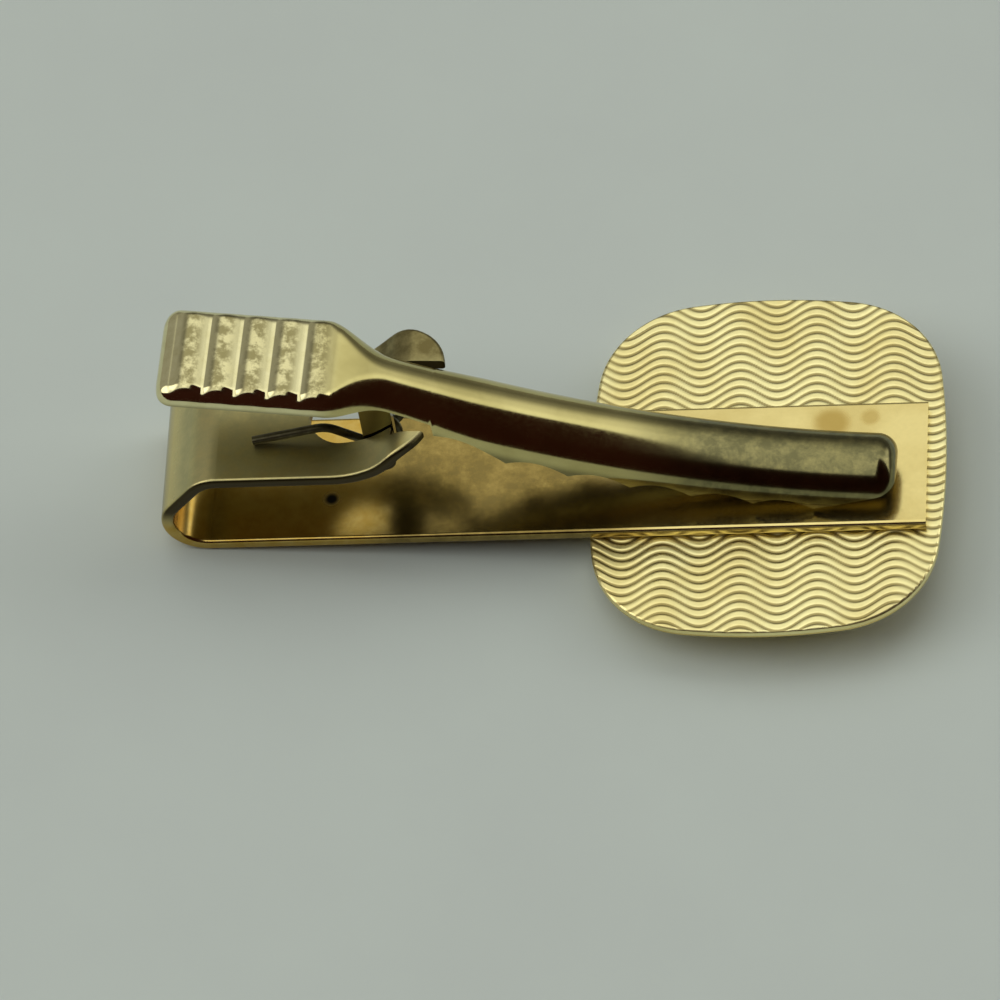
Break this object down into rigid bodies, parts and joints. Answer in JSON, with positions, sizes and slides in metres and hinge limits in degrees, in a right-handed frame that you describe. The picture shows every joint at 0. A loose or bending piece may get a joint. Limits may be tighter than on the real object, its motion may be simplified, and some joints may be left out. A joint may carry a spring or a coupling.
{
  "type": "tie clip",
  "caption": "Gold-toned tie clip: a cushion-shaped face on a folded bar, with a sprung, toothed lever that clamps the tie against the bar when its ribbed thumb pad is let go.",
  "frame": {"origin": "middle of the flat front of the face, where the clip lies on its face", "axes": "+X along the bar from the fold towards the face's outer end, +Y across the bar, +Z out of the back towards the lever"},
  "size_m": [0.0389, 0.0206, 0.0135],
  "materials": {
    "gilt_face": "polished",
    "gilt_back": "engine-turned",
    "gilt_bar": "satin",
    "pin_metal": "plain",
    "gilt_lever": "polished",
    "spring_steel": "darkened"
  },
  "bodies": {
    "base": {"face_shell": "gilt_face", "back_plate": "gilt_back", "base_bar": "gilt_bar", "hinge_pin": "pin_metal", "torsion_spring": "spring_steel"},
    "lever": {"lever": "gilt_lever"}
  },
  "joints": [
    {"name": "lever_hinge", "type": "hinge", "parent": "base", "child": "lever", "pos_m": [-0.0186, -0.0006, 0.0073], "axis": [-0.0436, -0.999, 0], "range_deg": [0, 20], "stiffness_Nm_per_rad": 0.02, "springref_deg": -20.05, "deforming": ["torsion_spring"]}
  ]
}
